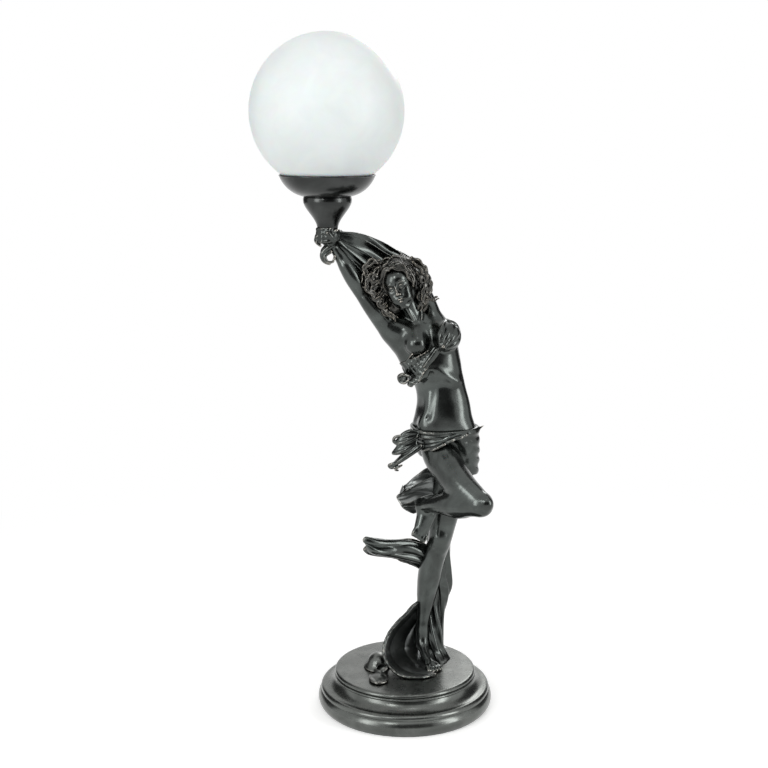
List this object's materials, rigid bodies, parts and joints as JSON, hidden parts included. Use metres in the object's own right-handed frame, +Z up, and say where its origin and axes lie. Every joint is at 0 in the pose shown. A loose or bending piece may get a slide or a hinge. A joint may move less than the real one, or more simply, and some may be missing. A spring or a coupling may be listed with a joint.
{
  "type": "figural table lamp",
  "caption": "Table lamp: a dancing draped figure on a round stepped base holds up a cup and dish with an opal glass globe that lifts off.",
  "frame": {"origin": "centre of the underside of the base, on the table", "axes": "+Z up; the viewer who faces the figure looks along +Y, with +X to the right; the globe is over the -X side"},
  "size_m": [0.2423, 0.182, 0.6817],
  "materials": {
    "patinated_casting": "satin",
    "patinated_spinning": "satin",
    "plated_steel": "satin",
    "felt": "matte",
    "black_rubber": "matte",
    "brass": "satin",
    "holder_plastic": "satin",
    "bulb_cap_metal": "satin",
    "bulb_glass": "satin",
    "opal_glass": "satin"
  },
  "bodies": {
    "lamp": {"base_casting": "patinated_casting", "base_cover": "plated_steel", "base_felt": "felt", "cord_grommet": "black_rubber", "figure_bolts": "plated_steel", "figure_washers": "plated_steel", "conduit_tube": "brass", "conduit_nut": "plated_steel", "figure_torso": "patinated_casting", "figure_head": "patinated_casting", "figure_hair": "patinated_casting", "right_arm": "patinated_casting", "left_arm": "patinated_casting", "raised_leg": "patinated_casting", "standing_leg": "patinated_casting", "chest_drape": "patinated_casting", "hip_drape": "patinated_casting", "overhead_scarf": "patinated_casting", "scarf_ends": "patinated_casting", "drape_column": "patinated_casting", "drape_tongue": "patinated_casting", "drape_sweep": "patinated_casting", "base_crest": "patinated_casting", "cloth_billow": "patinated_casting", "socket_cup": "patinated_casting", "gallery_dish": "patinated_spinning", "lamp_nipple": "brass", "nipple_nut": "brass", "holder_cap": "holder_plastic", "holder_sleeve": "holder_plastic", "thread_shell": "brass", "centre_contact": "brass", "globe_seat": "black_rubber", "globe_springs": "plated_steel"},
    "bulb": {"bulb_cap": "bulb_cap_metal", "bulb_contact": "brass", "bulb_glass": "bulb_glass"},
    "globe": {"globe_shade": "opal_glass"}
  },
  "joints": [
    {"name": "globe_lift", "type": "slide", "parent": "lamp", "child": "globe", "axis": [0, 0, 1], "range_m": [0, 0.125]},
    {"name": "bulb_turn", "type": "hinge", "parent": "lamp", "child": "bulb", "pos_m": [-0.077, 0, 0.5615], "axis": [0, 0, 1], "continuous": true}
  ]
}
